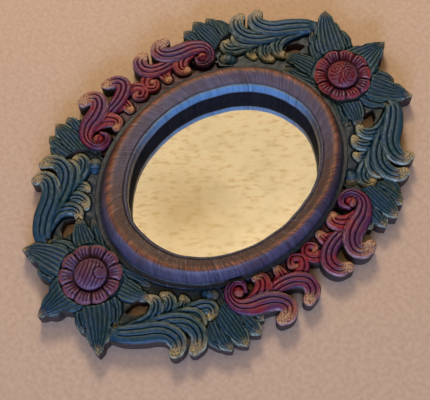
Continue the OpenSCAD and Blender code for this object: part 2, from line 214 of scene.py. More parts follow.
# The wall below the lip is left nearly black and dull, a dark stain that is also painted shade, so that
# the well reads as deep. Upright knife marks about 3 mm wide.
def black_well():
    material, tree, shader = start_material("black_stain_and_painted_shade")
    here = add(tree, "TexCoord", {}, "Object")
    marks = add(tree, "Mapping", {"Vector": here, "Scale": (300, 300, 60)})
    knife = add(tree, "TexNoise", {"Vector": marks, "Scale": 1.0, "Detail": 3.0})
    paint_amount = add(tree, "MapRange", {"Value": knife, "From Min": 0.35, "From Max": 0.7})
    paint = add(tree, "Mix", {"Factor": paint_amount, mix_a: "#0b090c", mix_b: "#1c181d"}, mix_out,
                data_type="RGBA")
    tree.links.new(paint, shader.inputs["Base Color"])
    shader.inputs["Roughness"].default_value = 0.85
    shader.inputs["Specular IOR Level"].default_value = 0.12
    bump = add(tree, "Bump", {"Height": knife, "Strength": 0.5, "Distance": 0.0004})
    tree.links.new(bump, shader.inputs["Normal"])
    return material


# Each row of the face is [distance in from the outer foot at the sides, height]: a flat ledge, a steep
# outer slope, the crest, a long inner slope, a scratched line and the steep blue bevel.
ring_width = foot[0] - opening[0]
ring_face = [
    (0.0, 0), (0.0, 7), (0.0, 14.4), (0.5, 14.9), (2.2, 14.5), (4.0, 14.6), (4.8, 15.6), (5.3, 18.0),
    (5.9, 21.0), (6.7, 24.0), (7.8, 26.8), (9.1, 29.0), (10.5, 30.3), (12.0, crest_top - 0.25),
    (13.4, 30.7), (14.9, 30.2), (16.5, 29.5), (18.0, 28.9), (19.5, 28.3), (21.0, 27.8), (22.0, 27.5),
    (22.35, 26.8), (22.7, 27.1), (24.2, 27.0), (24.9, 26.5), (25.2, 25.2), (25.35, 22.5), (25.4, 19.5),
    (25.5, 17.5)]
glass_front = glass_high.z
wall_drop = [(25.6, 16.8), (25.6, 12.5), (25.6, 8.5), (25.6, glass_front)]
ring_steps = 360
angles = np.arange(ring_steps) * 2 * math.pi / ring_steps
circle = np.stack([np.cos(angles), np.sin(angles)], 1)
ring_rows, ring_across = [], []
for distance, height in ring_face + wall_drop:
    share = distance / ring_width
    size = foot + (opening - foot) * share
    hand = wobble(circle * 100, 3, 60) * 0.5 * share + wobble(circle * 100, 5, 22) * 0.28 * (share > 0)
    if 5 < distance < 22:
        height = height + wobble(circle * 100, 11 + int(distance), 17) * 0.16
        height = np.minimum(height, crest_top - 0.02)
    row = circle * size + circle * hand[:, None] + (opening_shift * share, 0)
    ring_rows.append(np.column_stack([row, np.broadcast_to(height, ring_steps)]))
    ring_across.append(share)
for height in (glass_front, 0.0):
    row = circle * rebate + (opening_shift, 0)
    ring_rows.append(np.column_stack([row, np.full(ring_steps, height)]))
    ring_across.append(1.0)
rows = len(ring_rows)
wall_start = len(ring_face) - 1
ring_faces = [[r * ring_steps + i, r * ring_steps + (i + 1) % ring_steps,
               (r + 1) % rows * ring_steps + (i + 1) % ring_steps, (r + 1) % rows * ring_steps + i]
              for r in range(rows) for i in range(ring_steps)]
ring_material = np.repeat([0] * wall_start + [1] * (rows - wall_start - 1) + [0], ring_steps)
# Brush strokes cross the ring at a slant: laid turns with the way in, so that a stroke leans by 30 degrees.
stroke_turn = 0.15
ring_laid = np.concatenate([
    np.column_stack([np.cos(angles + stroke_turn * a) * 100, np.sin(angles + stroke_turn * a) * 100,
                     np.full(ring_steps, a * ring_width)]) for a in ring_across])
# Painted sheen: slate violet laid thickly over the inner slope at the upper left and over the outer
# slope at the lower right, the slopes that face the cool window; the brown stain is left bare elsewhere.
sheen_side = math.radians(143)
towards = np.cos(angles - sheen_side)
ring_painted_sheen = np.concatenate([
    smooth(towards, -0.35, 0.45) * smooth(a, 0.46, 0.56) * smooth(a, 0.88, 0.86)
    + smooth(-towards, -0.35, 0.45) * smooth(a, 0.18, 0.22) * smooth(a, 0.46, 0.38) for a in ring_across])
# Painted reflection: pale blue on the bevel at the upper left, where it faces the cool window.
ring_painted_reflection = np.concatenate([
    smooth(towards, 0.25, 0.8) * smooth(a, 0.90, 0.94) * (a < 1) for a in ring_across])
ring_amounts = {"across": np.repeat(ring_across, ring_steps), "painted_sheen": ring_painted_sheen, "painted_blue_reflection": ring_painted_reflection}
oval_ring = make_mesh("carved_oval_ring", np.concatenate(ring_rows), ring_faces,
                      [ring_stain_and_painted_sheen(), black_well()], ring_material, ring_amounts, ring_laid, crease=50)
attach(oval_ring, "mirror")
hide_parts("oval_ring")

# ---- Red scrolls ----
# Four groups of carved ribbons, each curling out of a small spiral, cut in relief and pierced.
# Painted crimson with mauve glaze, then gold and cream dragged dry over the curl ends.
to_foot = foot / np.array((97.0, 118.5))  # the layout is drawn round a foot of this size

# Each quarter is [x side, y side, hand shifts]; a shift is [x, y, move x, move y] in the layout.
upper_right = (1, 1, [])
upper_left = (-1, 1, [(95, 63, 6, -1), (130, 40, 1, -3), (105, 9, 6, 1), (102, 35, 6, 1), (132, 14, 3, 4),
                      (70, 140, 5, 2), (97, 128, 5, 2), (100, 110, 5, 0), (55, 125, 5, 0), (85, 90, 6, 0),
                      (120, 92, 8, -2), (124, 68, 2, 0), (52, 172, 6, 6)])
lower_left = (-1, -1, [(95, 63, 2, -2), (130, 40, 1, 2), (105, 9, 6, -4), (97, 128, 4, -6),
                       (103, 110, 4, -5), (70, 140, 2, 1), (127, 82, 4, -2), (52, 172, 0, -3)])
lower_right = (1, -1, [(93, 63, -3, -2), (128, 38, -1, 3), (98, 130, 0, 2), (124, 90, 0, 3),
                       (52, 172, 1, 4)])
shift_reach = 17.0


def place(rows, quarter):
    """Layout rows of x, y and maybe width, moved into a quarter."""
    side_x, side_y, shifts = quarter
    rows = np.array(rows, float)
    move, weight = np.zeros((len(rows), 2)), np.zeros(len(rows))
    for x, y, dx, dy in shifts:
        near = np.exp(-((rows[:, 0] - x) ** 2 + (rows[:, 1] - y) ** 2) / (2 * shift_reach ** 2))
        move += near[:, None] * (dx, dy)
        weight += near
    rows[:, :2] = (rows[:, :2] + move / np.maximum(weight, 1)[:, None]) * to_foot * (side_x, side_y)
    return rows


def curve(rows, steps=8):
    """A smooth curve through the rows, with the width carried along."""
    rows = np.vstack([2 * rows[0] - rows[1], rows, 2 * rows[-1] - rows[-2]])
    t = (np.arange(steps) / steps)[:, None]
    parts = []
    for a, b, c, d in zip(rows, rows[1:], rows[2:], rows[3:]):
        parts.append(0.5 * (2 * b + (c - a) * t + (2 * a - 5 * b + 4 * c - d) * t ** 2
                            + (3 * b - a - 3 * c + d) * t ** 3))
    return np.vstack(parts + [rows[-2:-1]])


def along_and_across(points, path):
    """For each point: length along the path, its share, signed place across and distance outside."""
    a, b = path[:-1], path[1:]
    step = b[:, :2] - a[:, :2]
    length = np.maximum(np.hypot(step[:, 0], step[:, 1]), 1e-6)
    start = np.concatenate([[0], np.cumsum(length)])
    off = points[:, None, :] - a[None, :, :2]
    t = np.clip((off * step).sum(2) / length ** 2, 0, 1)
    off = off - t[..., None] * step
    distance = np.hypot(off[..., 0], off[..., 1])
    half = np.maximum(a[:, 2] + t * (b[:, 2] - a[:, 2]), 0.4) / 2
    best = np.argmin(distance - half, axis=1)
    pick = (np.arange(len(points)), best)
    side = np.sign(step[best, 0] * off[pick][:, 1] - step[best, 1] * off[pick][:, 0])
    reach = start[best] + t[pick] * length[best]
    return reach, reach / start[-1], side * distance[pick], half[pick], (distance - half)[pick]


def outside_polygon(points, corners):
    """Distance outside a polygon, negative inside."""
    a, b = corners, np.roll(corners, -1, axis=0)
    edge = b - a
    off = points[:, None, :] - a[None]
    t = np.clip((off * edge).sum(2) / (edge ** 2).sum(1), 0, 1)
    near = np.hypot(*np.moveaxis(off - t[..., None] * edge, 2, 0)).min(1)
    with np.errstate(divide="ignore", invalid="ignore"):
        crosses = ((a[None, :, 1] > points[:, 1:2]) != (b[None, :, 1] > points[:, 1:2])) & (
            points[:, 0:1] < a[:, 0] + (points[:, 1:2] - a[:, 1]) / edge[:, 1] * edge[:, 0])
    return np.where(crosses.sum(1) % 2 == 1, -near, near)


def outside_oval(points, centre, radii):
    scaled_points = (points - centre) / radii
    r = np.hypot(scaled_points[:, 0], scaled_points[:, 1])
    slope = np.hypot(*((points - centre) / np.array(radii) ** 2).T) / np.maximum(r, 1e-6)
    return (r - 1) / np.maximum(slope, 1e-6)


def lobe(rows, top, cuts=(), tone=0.5, fine=0, tip=1.0, droop=0.7, crown=1.0, lip=0.9, teeth=0.0):
    """A carved ribbon or leaf: rows of x, y and width down its middle, its height, the places across
    it of its knife cuts from -1 to 1, its paint amounts, the count of its veins and its rounding."""
    return dict(rows=rows, top=top, cuts=cuts, tone=tone, fine=fine, tip=tip, droop=droop, crown=crown,
                lip=lip, teeth=teeth)


scallop_pitch = 15.0  # between the notches along a leaf's edge


def edge_of(points, shape):
    """along_and_across for a lobe, with the notches between a leaf's scallops taken off its edge."""
    reach, u, off, half, out = along_and_across(points, shape["path"])
    between = np.abs(np.cos(math.pi * reach / scallop_pitch)) ** 5
    notch = shape["teeth"] * half * between * smooth(half, 3.0, 7.0)
    return reach, u, off, half, out + notch


def placed_lobe(shape, quarter):
    return dict(shape, path=curve(place(shape["rows"], quarter)), flip=quarter[0] * quarter[1])


cut_half = 0.75   # half width of the knife cuts between strands
cut_depth = 1.3
strand_crown = 0.5  # how far each strand between two cuts is rounded up
root_dip = 0.8    # how far a lobe's root sinks under what it grows from
fine_depth = 1.0  # depth of the fine veins in a leaf
ground_ripple, lobe_ripple = 0.3, 0.12  # unevenness that the chisel leaves
tuck_w = 2.0      # how far a lobe's shadow cut reaches into what lies under it
tuck_d = 1.5
beside_gap, ring_tuck = 0.3, 0.4  # gap to the section beside, and how far under the ring a section runs


class Carving:
    """A section of the border: ground, holes and lobes, which cover each other in order."""

    def __init__(self, lobes, grounds, ground_top, holes=(), beside=(), seed=0, seat=None):
        self.lobes, self.grounds, self.ground_top = lobes, grounds, ground_top
        self.holes, self.beside, self.seed, self.seat = holes, beside, seed, seat

    def outline(self, points):
        out = np.full(len(points), 99.0)
        for ground in self.grounds:
            out = np.minimum(out, outside_polygon(points, ground))
        for centre, radii in self.holes:
            out = np.maximum(out, -outside_oval(points, centre, radii))
        for shape in self.lobes:
            near = self.close(points, shape)
            if near.any():
                out[near] = np.minimum(out[near], edge_of(points[near], shape)[4])
        out = np.maximum(out, -outside_oval(points, (0, 0), foot - ring_tuck))
        for other in self.beside:
            out = np.maximum(out, -(other.outline(points) + beside_gap))
        return out

    @staticmethod
    def close(points, shape, room=4.0):
        path = shape["path"]
        reach = path[:, 2].max() / 2 + room
        low, high = path[:, :2].min(0) - reach, path[:, :2].max(0) + reach
        return ((points > low) & (points < high)).all(1)

    def surface(self, points):
        """Height and paint amounts at each point."""
        z = np.full(len(points), self.ground_top) + ground_ripple * wobble(points, self.seed, 9)
        tone = np.full(len(points), 0.5)
        # low marks the bare ground between the lobes, which the paint darkens as a dark wash and painted
        # shade.
        tip, rim, low = np.zeros(len(points)), np.zeros(len(points)), np.ones(len(points))
        laid = np.column_stack([points, np.zeros(len(points))])
        for number, shape in enumerate(self.lobes):
            near = np.nonzero(self.close(points, shape))[0]
            if not len(near):
                continue
            reach, u, off, half, out = edge_of(points[near], shape)
            v = off / half * shape["flip"]
            top = shape["top"] - shape["droop"] * smooth(u, 0.72, 1.0) - root_dip * smooth(u, 0.12, 0.0)
            height = top - shape["crown"] * v ** 2 - shape["lip"] * smooth(np.abs(v), 0.80, 1.02)
            fade = smooth(u, 0.02, 0.12) * smooth(u, 0.97, 0.86)
            bounds = [-1.0, *shape["cuts"], 1.0]
            for left, right in zip(bounds, bounds[1:]):
                share = np.clip((v - left) / (right - left), 0, 1)
                height += strand_crown * fade * ((v >= left) & (v < right)) * (1 - (2 * share - 1) ** 2)
            for cut in shape["cuts"]:
                bite = np.clip(1 - np.abs(v - cut) * half / cut_half, 0, 1)
                height -= cut_depth * bite * fade
            if shape["fine"]:
                phase = v * shape["fine"] / 2
                ridge = np.abs((phase - np.floor(phase)) - 0.5) * 2
                strength = np.clip(half * 4 / shape["fine"] / 1.4, 0, 1) * smooth(u, 0.0, 0.15)
                height -= fine_depth * ridge ** 2 * strength
            height += lobe_ripple * wobble(points[near], self.seed + number + 1, 6)
            tuck = np.where(out > 0, tuck_d * np.clip(1 - out / tuck_w, 0, 1) ** 2, tuck_d)
            z[near] -= tuck
            on = out < 0.15
            rows = near[on]
            z[rows] = np.maximum(height[on], z[rows] + tuck_d * 0.55)
            tone[rows] = shape["tone"]
            tip[rows] = shape["tip"] * smooth(u[on], 0.80, 1.0)
            rim[rows] = smooth(np.abs(v[on]), 0.72, 0.84) * smooth(u[on], 0.55, 0.85) * shape["tip"]
            low[rows] = 0
            laid[rows] = np.column_stack([reach[on], off[on], np.full(on.sum(), number * 31.0)])
        if self.seat:
            centre, reach, level = self.seat
            away = np.hypot(points[:, 0] - centre[0], points[:, 1] - centre[1])
            z -= smooth(away, reach + 1.5, reach) * np.maximum(z - level, 0)
        return z, dict(tone=tone, tip=tip, rim=rim, low=low), laid


carving_step = 0.5
average_rounds = 14  # blurring with a spread of about 1.3 mm, against which cuts and ridges are told
wall_dip = 1.5       # how far below the edge the sawn wall's middle row is measured from
contour_room = 0.12  # keeps outline points off the grid's own points


def blurred(height, mask, rounds):
    """Average of height over its neighbours inside the mask."""
    total, weight = height * mask, mask.astype(float)
    for _ in range(rounds):
        for axis in (0, 1):
            total = total / 2 + (np.roll(total, 1, axis) + np.roll(total, -1, axis)) / 4
            weight = weight / 2 + (np.roll(weight, 1, axis) + np.roll(weight, -1, axis)) / 4
    return total / np.maximum(weight, 1e-6)


def carve(name, section, low, high, materials, back=0.0):
    """Cuts a section as one closed skin: carved top, straight sawn walls and a flat back."""
    xs = np.arange(low[0], high[0] + carving_step, carving_step)
    ys = np.arange(low[1], high[1] + carving_step, carving_step)
    nx, ny = len(xs), len(ys)
    grid = np.stack(np.meshgrid(xs, ys, indexing="ij"), 2).reshape(-1, 2)
    out = section.outline(grid)
    inside = (out < 0).reshape(nx, ny)
    inside[[0, -1], :] = False
    inside[:, [0, -1]] = False
    out = np.where(inside.ravel(), np.minimum(out, -1e-4), np.maximum(out, 1e-4)).reshape(nx, ny)
    number = np.full((nx, ny), -1)
    number[inside] = np.arange(inside.sum())
    count = int(inside.sum())
    points = [grid.reshape(nx, ny, 2)[inside]]
    crossing = []
    for axis in (0, 1):
        first = (slice(None, -1), slice(None)) if axis == 0 else (slice(None), slice(None, -1))
        second = (slice(1, None), slice(None)) if axis == 0 else (slice(None), slice(1, None))
        crosses = inside[first] != inside[second]
        t = out[first] / (out[first] - out[second] + 1e-12)
        t = np.clip(t, contour_room, 1 - contour_room)[crosses][:, None]
        places = grid.reshape(nx, ny, 2)
        points.append(places[first][crosses] * (1 - t) + places[second][crosses] * t)
        index = np.full(crosses.shape, -1)
        index[crosses] = np.arange(crosses.sum()) + count
        count += int(crosses.sum())
        crossing.append(index)
    along_x, along_y = crossing
    plan = np.concatenate(points)
    grid_count = int(inside.sum())
    z, paint, laid = section.surface(plan)
    relief = np.zeros((nx, ny))
    relief[inside] = z[:grid_count]
    average = blurred(relief, inside, average_rounds)
    difference = np.zeros((nx, ny))
    difference[inside] = (relief - average)[inside]
    spread = blurred(difference, inside, 1)
    nearest = np.clip(np.rint((plan - (xs[0], ys[0])) / carving_step).astype(int), 0, (nx - 1, ny - 1))
    raised = np.zeros(len(plan))
    raised[:grid_count] = difference[inside]
    raised[grid_count:] = spread[nearest[grid_count:, 0], nearest[grid_count:, 1]]
    faces, segments = [], {}
    full = inside[:-1, :-1] & inside[1:, :-1] & inside[1:, 1:] & inside[:-1, 1:]
    faces += np.stack([number[:-1, :-1][full], number[1:, :-1][full],
                       number[1:, 1:][full], number[:-1, 1:][full]], 1).tolist()
    touched = inside[:-1, :-1] | inside[1:, :-1] | inside[1:, 1:] | inside[:-1, 1:]
    for i, j in zip(*np.nonzero(touched & ~full)):
        corners = (number[i, j], number[i + 1, j], number[i + 1, j + 1], number[i, j + 1])
        edges = (along_x[i, j], along_y[i + 1, j], along_x[i, j + 1], along_y[i, j])
        loop = [int(k) for pair in zip(corners, edges) for k in pair if k >= 0]
        faces.append(loop)
        for a, b in zip(loop, loop[1:] + loop[:1]):
            if a >= grid_count and b >= grid_count:
                segments[a] = b
    top_faces = len(faces)
    rim_count = len(plan) - grid_count
    wall_heights = (0.5, 0.0)
    places = [np.column_stack([plan, z])]
    rim = plan[grid_count:]
    for share in wall_heights:
        level = back + (z[grid_count:] - wall_dip - back) * share
        places.append(np.column_stack([rim, level]))
    for a, b in segments.items():
        upper = (a, b)
        for row in range(len(wall_heights)):
            base = len(plan) + row * rim_count - grid_count
            lower = (a + base, b + base)
            faces.append([upper[1], upper[0], lower[0], lower[1]])
            upper = lower
    side_faces = len(faces)
    loops, left = [], dict(segments)
    while left:
        first = next(iter(left))
        loop = [first]
        while left[loop[-1]] != first:
            loop.append(left[loop[-1]])
        for k in loop:
            del left[k]
        loops.append(loop)
    base = len(plan) + (len(wall_heights) - 1) * rim_count - grid_count
    flat = [k for loop in loops for k in loop]
    for a, b, c in tessellate_polygon([[Vector((*plan[k], 0)) for k in loop] for loop in loops]):
        a, b, c = flat[a], flat[b], flat[c]
        (ax, ay), (bx, by), (cx, cy) = plan[a], plan[b], plan[c]
        turn = (bx - ax) * (cy - ay) - (by - ay) * (cx - ax)
        faces.append([a + base, c + base, b + base] if turn > 0 else [a + base, b + base, c + base])
    face_material = [0] * top_faces + [1] * (side_faces - top_faces) + [2] * (len(faces) - side_faces)
    repeat = len(wall_heights)
    numbers = {key: np.concatenate([v] + [v[grid_count:]] * repeat) for key, v in paint.items()}
    numbers["raised"] = np.concatenate([raised] + [raised[grid_count:]] * repeat)
    laid = np.concatenate([laid] + [laid[grid_count:]] * repeat)
    piece = make_mesh(name, np.concatenate(places), faces, materials, face_material, numbers, laid)
    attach(piece, "mirror")
    return piece


# Thinned paint over a dark ground, with gold or cream dragged dry over what stands up:
# dull in the cuts, satin on the lobes, speckled at the tips. The dark of the cuts and of the bare ground
# is a dark wash and painted shade. Patches of tone are about 18 mm across, strokes under 1 mm wide and
# 6 mm long, and speckles about 1 mm, drawn coarse enough to show.
def dry_brushed_paint(name, base, second, tip_colour, rim_colour, dark, edge_light):
    material, tree, shader = start_material(name)
    here = add(tree, "TexCoord", {}, "Object")
    laid = add(tree, "Attribute", {}, "Vector", attribute_name="laid")
    patches = add(tree, "TexNoise", {"Vector": here, "Scale": 55.0, "Detail": 3.0})
    stretched = add(tree, "Mapping", {"Vector": laid, "Scale": (0.16, 1.5, 1)})
    strokes = add(tree, "TexNoise", {"Vector": stretched, "Scale": 1.0, "Detail": 4.0, "Roughness": 0.7})
    speckle = add(tree, "TexNoise", {"Vector": here, "Scale": 900.0, "Detail": 2.0, "Roughness": 0.7})
    tone = add(tree, "Attribute", {}, "Fac", attribute_name="tone")
    patch_lean = add(tree, "MapRange", {"Value": patches, "From Min": 0.3, "From Max": 0.7,
                                           "To Min": -0.45, "To Max": 0.45})
    lean = add(tree, "Math", {0: tone, 1: patch_lean}, operation="ADD")
    second_amount = add(tree, "MapRange", {"Value": lean, "From Min": 0.15, "From Max": 0.85})
    colour = add(tree, "Mix", {"Factor": second_amount, mix_a: base, mix_b: second}, mix_out,
                 data_type="RGBA")
    stroke_amount = add(tree, "MapRange", {"Value": strokes, "From Min": 0.35, "From Max": 0.7,
                                           "To Min": 0.0, "To Max": 0.55})
    colour = add(tree, "Mix", {"Factor": stroke_amount, mix_a: colour, mix_b: dark}, mix_out,
                 data_type="RGBA")
    tip = add(tree, "Attribute", {}, "Fac", attribute_name="tip")
    tip_speckle = add(tree, "MapRange", {"Value": speckle, "From Min": 0.46, "From Max": 0.56,
                                           "To Min": 0.1, "To Max": 0.95})
    tip_amount = add(tree, "Math", {0: tip, 1: tip_speckle}, operation="MULTIPLY")
    colour = add(tree, "Mix", {"Factor": tip_amount, mix_a: colour, mix_b: tip_colour}, mix_out,
                 data_type="RGBA")
    raised = add(tree, "Attribute", {}, "Fac", attribute_name="raised")
    # Painted shade: cuts that lie below their surroundings are darkened towards the dark colour, partly a
    # dark wash.
    cut_wash_and_painted_shade = add(tree, "MapRange", {"Value": raised, "From Min": -0.05, "From Max": -0.75,
                                           "To Min": 0.0, "To Max": 0.92})
    colour = add(tree, "Mix", {"Factor": cut_wash_and_painted_shade, mix_a: colour, mix_b: dark}, mix_out,
                 data_type="RGBA")
    high_places = add(tree, "MapRange", {"Value": raised, "From Min": 0.15, "From Max": 0.6})
    light_strokes = add(tree, "MapRange", {"Value": strokes, "From Min": 0.56, "From Max": 0.42,
                                           "To Min": 0.0, "To Max": 1.0})
    drag = add(tree, "Math", {0: high_places, 1: light_strokes}, operation="MULTIPLY")
    drag_amount = add(tree, "Math", {0: drag, 1: edge_light}, operation="MULTIPLY")
    colour = add(tree, "Mix", {"Factor": drag_amount, mix_a: colour, mix_b: rim_colour}, mix_out,
                 data_type="RGBA")
    rim = add(tree, "Attribute", {}, "Fac", attribute_name="rim")
    rim_strokes = add(tree, "MapRange", {"Value": strokes, "From Min": 0.56, "From Max": 0.42,
                                           "To Min": 0.0, "To Max": 0.75})
    rim = add(tree, "Math", {0: rim, 1: rim_strokes}, operation="MULTIPLY")
    colour = add(tree, "Mix", {"Factor": rim, mix_a: colour, mix_b: rim_colour}, mix_out,
                 data_type="RGBA")
    low = add(tree, "Attribute", {}, "Fac", attribute_name="low")
    # Painted shade: the bare ground between lobes is darkened towards the dark colour, partly a dark wash.
    ground_wash_and_painted_shade = add(tree, "Math", {0: low, 1: 0.7}, operation="MULTIPLY")
    colour = add(tree, "Mix", {"Factor": ground_wash_and_painted_shade, mix_a: colour, mix_b: dark}, mix_out,
                 data_type="RGBA")
    tree.links.new(colour, shader.inputs["Base Color"])
    roughness = add(tree, "MapRange",
                    {"Value": speckle, "From Min": 0.3, "From Max": 0.7, "To Min": 0.3, "To Max": 0.52})
    tree.links.new(roughness, shader.inputs["Roughness"])
    shader.inputs["Specular IOR Level"].default_value = 0.3
    height_part = add(tree, "Math", {0: speckle, 1: 0.4}, operation="MULTIPLY")
    height = add(tree, "Math", {0: strokes, 1: height_part}, operation="ADD")
    bump = add(tree, "Bump", {"Height": height, "Strength": 0.6, "Distance": 0.0004})
    tree.links.new(bump, shader.inputs["Normal"])
    return material


# Sawn and chiselled edges, stained nearly black brown, so that the piercings read as dark. Saw marks
# lie along the plank, about 1 mm apart.
def sawn_edge():
    material, tree, shader = start_material("dark_stained_sawn_wood")
    here = add(tree, "TexCoord", {}, "Object")
    marks = add(tree, "Mapping", {"Vector": here, "Scale": (60, 60, 900)})
    saw = add(tree, "TexNoise", {"Vector": marks, "Scale": 1.0, "Detail": 3.0})
    paint_amount = add(tree, "MapRange", {"Value": saw, "From Min": 0.3, "From Max": 0.7})
    paint = add(tree, "Mix", {"Factor": paint_amount, mix_a: "#1b120e", mix_b: "#3b271d"}, mix_out,
                data_type="RGBA")
    tree.links.new(paint, shader.inputs["Base Color"])
    shader.inputs["Roughness"].default_value = 0.7
    bump = add(tree, "Bump", {"Height": saw, "Strength": 0.6, "Distance": 0.0004})
    tree.links.new(bump, shader.inputs["Normal"])
    return material


# Bare planed softwood on the back: yellow brown, with grain bands about 4 mm wide and 100 mm long down
# the plank, and pores under 1 mm.
def planed_back():
    material, tree, shader = start_material("planed_albizia")
    here = add(tree, "TexCoord", {}, "Object")
    lengthwise = add(tree, "Mapping", {"Vector": here, "Scale": (260, 9, 40)})
    grain = add(tree, "TexNoise",
                {"Vector": lengthwise, "Scale": 1.0, "Detail": 5.0, "Roughness": 0.6, "Distortion": 0.6})
    pores = add(tree, "Mapping", {"Vector": here, "Scale": (2200, 160, 400)})
    pore = add(tree, "TexNoise", {"Vector": pores, "Scale": 1.0, "Detail": 1.0})
    wood = add(tree, "ValToRGB", {"Fac": grain},
               stops=[(0.3, "#7d5b3d"), (0.48, "#a58058"), (0.62, "#b8946a"), (0.75, "#94704a")])
    paint_amount = add(tree, "MapRange",
                       {"Value": pore, "From Min": 0.62, "From Max": 0.72, "To Min": 0.0, "To Max": 0.5})
    paint = add(tree, "Mix", {"Factor": paint_amount, mix_a: wood, mix_b: "#5c422c"}, mix_out,
                data_type="RGBA")
    tree.links.new(paint, shader.inputs["Base Color"])
    shader.inputs["Roughness"].default_value = 0.75
    bump = add(tree, "Bump", {"Height": grain, "Strength": 0.35, "Distance": 0.0004})
    tree.links.new(bump, shader.inputs["Normal"])
    return material


edge_wood, back_wood = sawn_edge(), planed_back()
crimson = dry_brushed_paint("crimson_dry_brushed", "#84081e", "#52224c", "#c09a68", "#cc9a98",
                            "#0f050c", 0.16)

red_lobes = [
    lobe([(110, 27, 8), (113.5, 17, 10), (111, 6.5, 10.5), (103.5, 2.5, 8.5), (98.5, 8, 7), (103, 13, 6),
          (106.5, 9.5, 5)], 14.8, (0.15,), tone=0.2, tip=0.5),
    lobe([(110, 44, 10), (109.5, 32, 12), (105.5, 24.5, 11.5), (98, 23.5, 8)],
         15.0, (-0.15, 0.35), tone=0.0),
    lobe([(110, 46, 10), (111, 29, 13), (115.5, 17.5, 14), (123, 12, 14.5), (131, 14, 13.5), (135, 21, 10)],
         16.0, (-0.35, 0.3), tone=0.6),
    lobe([(107, 66, 10), (108, 54, 14), (105, 45, 15.5), (98, 40, 12.5), (93.5, 43, 8)],
         16.4, (-0.35, 0.2), tone=0.1),
    lobe([(97.5, 58, 3.5), (91, 55.5, 5), (86.5, 60.5, 6.5), (88, 68, 8), (94.5, 72, 9), (103, 70.5, 12),
          (110, 62, 16), (113.5, 52, 18), (117, 44, 17), (122.5, 38, 15.5), (129, 36.5, 15),
          (133.5, 41, 13.5), (133.5, 48, 10)], 17.6, (-0.36, 0.2), tone=0.7, crown=1.5),
    lobe([(93.8, 63, 9), (94.6, 63.4, 9)], 18.0, (), tone=0.0, tip=0.3, crown=2.6, droop=0.2)]
red_ground = [(74, 66), (98, 72), (112, 60), (116, 44), (113, 24), (112, 6), (106, 1), (80, 1), (76, 58)]
red_holes = [((94.5, 48.5), (6.5, 5.2)), ((125, 24.5), (6.5, 4.2))]


def holes_in(holes, quarter):
    return [(place([centre], quarter)[0], radii) for centre, radii in holes]


def section_of(lobes, grounds, ground_top, holes, quarter, beside=(), seed=0):
    return Carving([placed_lobe(shape, quarter) for shape in lobes],
                   [place(ground, quarter) for ground in grounds], ground_top,
                   holes_in(holes, quarter), beside, seed)


def box_of(section, room=3.0):
    """Corners of the box round a section's ground and lobes, with some room."""
    outline = [*section.grounds]
    for shape in section.lobes:
        half = shape["path"][:, 2:3] / 2
        outline += [shape["path"][:, :2] - half, shape["path"][:, :2] + half]
    outline = np.vstack(outline)
    return outline.min(0) - room, outline.max(0) + room


quarters = {"upper_right": upper_right, "upper_left": upper_left,
            "lower_left": lower_left, "lower_right": lower_right}
red_sections = {}
for seed, (corner, quarter) in enumerate(quarters.items()):
    section = section_of(red_lobes, [red_ground], 11.5, red_holes, quarter, seed=100 + seed * 20)
    red_sections[corner] = section
    piece = carve("crimson_scroll_" + corner, section, *box_of(section), [crimson, edge_wood, back_wood])
    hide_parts("red_scroll_" + corner)

# ---- Leaf sprays ----
# Pointed and rounded leaves spreading from behind each rosette, cut with fine veins.
# Painted dark teal; the veins' crests and the tips catch dull gold.
teal = dry_brushed_paint("teal_dry_brushed", "#053438", "#093650", "#b89a5c", "#a8b49a", "#030a0e", 0.22)
axis_leaf = lobe([(0, 144, 30), (0, 160, 37), (0, 171, 32), (0, 181, 22), (0, 190, 12), (0, 197.4, 1.5)],
                 17.4, fine=8, tip=0.7, teeth=0.2)
leaves = [
    lobe([(6, 126, 12), (18, 120, 15), (28, 115.5, 13), (38, 112.5, 3)], 13.8, fine=4, tip=0.4, teeth=0.2),
    lobe([(10, 133, 16), (23, 131, 21), (33, 127.5, 18), (41, 123.5, 11), (47, 120.5, 2)],
         15.2, fine=6, teeth=0.22),
    lobe([(12, 144, 14), (27, 146.5, 20), (38, 150, 15), (49, 154, 2)], 15.0, fine=5, tip=0.8, teeth=0.2),
    lobe([(10, 160, 16), (21, 166.5, 19), (29, 171, 14), (33, 173.5, 5)],
         15.4, fine=5, tip=0.5, teeth=0.15),
    lobe([(10, 152, 20), (25, 156.5, 29), (38, 163, 25), (48, 169.5, 15), (56, 176, 1.5)],
         17.0, fine=7, teeth=0.22)]
spray_ground = [(0, 112), (36, 108), (43, 118), (41, 134), (43, 150), (34, 162), (20, 172), (0, 174)]
rosette_seat = (142.5, 26.5, 13.9)  # the rosette's centre, its radius and the height it stands on
spray_sections = {}
spray_ends = (("top", upper_right, upper_left), ("bottom", lower_right, lower_left))
for seed, (end, right, left) in enumerate(spray_ends):
    shapes = []
    for shape in leaves:
        shapes += [placed_lobe(shape, right), placed_lobe(shape, left)]
    shapes.append(placed_lobe(axis_leaf, (1, right[1], [])))
    section = Carving(shapes, [place(spray_ground, right), place(spray_ground, left)], 12.5,
                      seed=300 + seed * 40, seat=((0, right[1] * rosette_seat[0]), *rosette_seat[1:]))
    spray_sections[end] = section
    piece = carve(end + "_spray_of_leaves", section, *box_of(section), [teal, edge_wood, back_wood])
    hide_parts(end + "_leaf_spray")
    if end == "top":
        top_spray = piece

